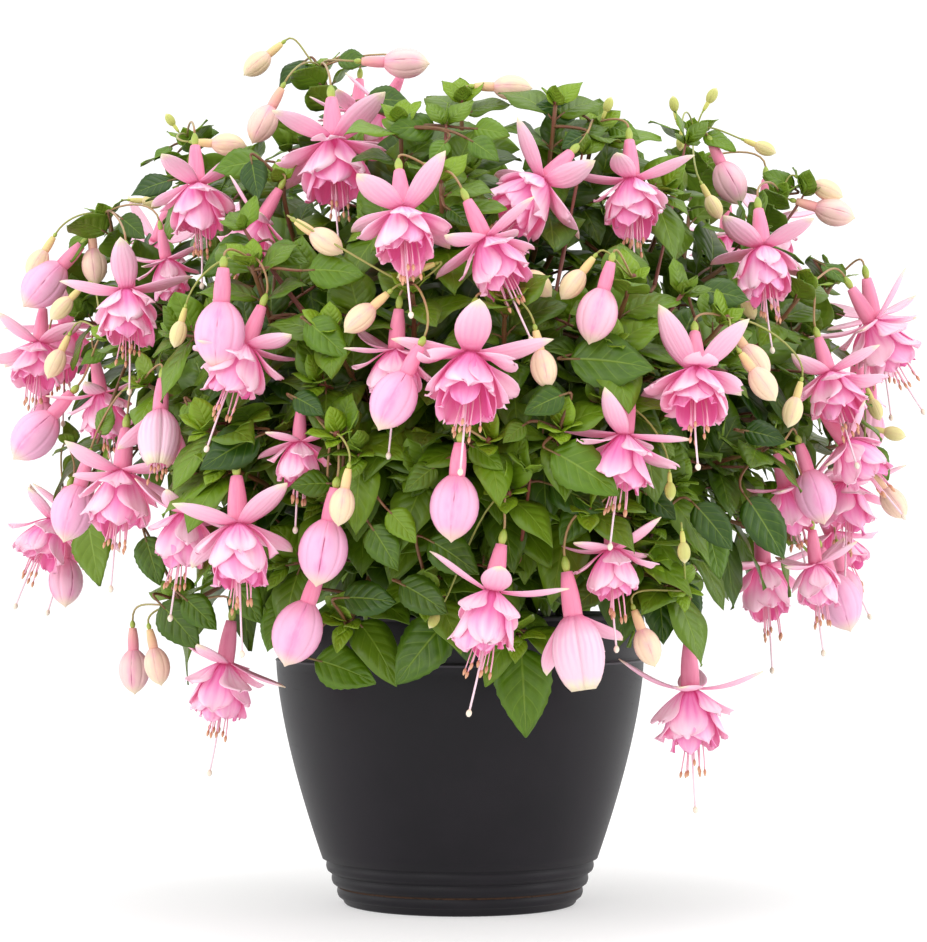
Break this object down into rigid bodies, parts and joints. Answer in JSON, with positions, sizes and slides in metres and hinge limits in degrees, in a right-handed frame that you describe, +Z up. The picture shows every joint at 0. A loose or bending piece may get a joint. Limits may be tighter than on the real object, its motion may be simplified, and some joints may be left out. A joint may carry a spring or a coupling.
{
  "type": "fuchsia in a standing pot",
  "caption": "Bushy fuchsia with hanging double pink flowers, buds and paired leaves in a round dark plastic pot that stands on its flat foot.",
  "frame": {"origin": "centre of the pot's flat foot, on the ground", "axes": "+Z up along the pot's axis, -Y towards the front that the picture shows, +X to the right seen from the front"},
  "size_m": [0.5848, 0.6065, 0.5399],
  "materials": {
    "pot": "satin charcoal",
    "soil": "rough, crumbly",
    "wood": "dull red-brown bark",
    "leaf": "soft satin green",
    "flower": "soft satin pink"
  },
  "bodies": {
    "root": {"pot": "pot", "shoot_01": "leaf", "shoot_02": "leaf", "shoot_03": "leaf", "shoot_04": "leaf", "shoot_05": "leaf", "shoot_06": "leaf", "shoot_07": "leaf", "shoot_08": "leaf", "shoot_09": "leaf", "shoot_10": "leaf", "shoot_11": "leaf", "shoot_12": "leaf", "shoot_13": "leaf", "shoot_14": "leaf", "shoot_15": "leaf", "shoot_16": "leaf", "shoot_17": "leaf", "shoot_18": "leaf", "shoot_19": "leaf", "soil": "soil", "spray_centre": "flower", "spray_centre_left": "flower", "spray_centre_low": "flower", "spray_centre_right": "flower", "spray_crest": "flower", "spray_crown_bud": "flower", "spray_far_left": "flower", "spray_far_left_high": "flower", "spray_far_right": "flower", "spray_far_right_low": "flower", "spray_inner_left": "flower", "spray_left_hanging": "flower", "spray_left_low": "flower", "spray_left_middle": "flower", "spray_low_front": "flower", "spray_low_left": "flower", "spray_low_middle": "flower", "spray_low_right": "flower", "spray_middle_right": "flower", "spray_rear_1_1": "flower", "spray_rear_1_2": "flower", "spray_rear_2_1": "flower", "spray_rear_2_2": "flower", "spray_rear_2_3": "flower", "spray_rear_2_4": "flower", "spray_rear_3_1": "flower", "spray_rear_3_2": "flower", "spray_rear_3_3": "flower", "spray_right_crest": "flower", "spray_right_hanging": "flower", "spray_right_high": "flower", "spray_right_low": "flower", "spray_right_middle": "flower", "spray_trailing_left": "flower", "spray_upper_left": "flower", "spray_upper_middle": "flower", "spray_upper_right": "flower", "woody_stems": "wood"}
  },
  "joints": []
}
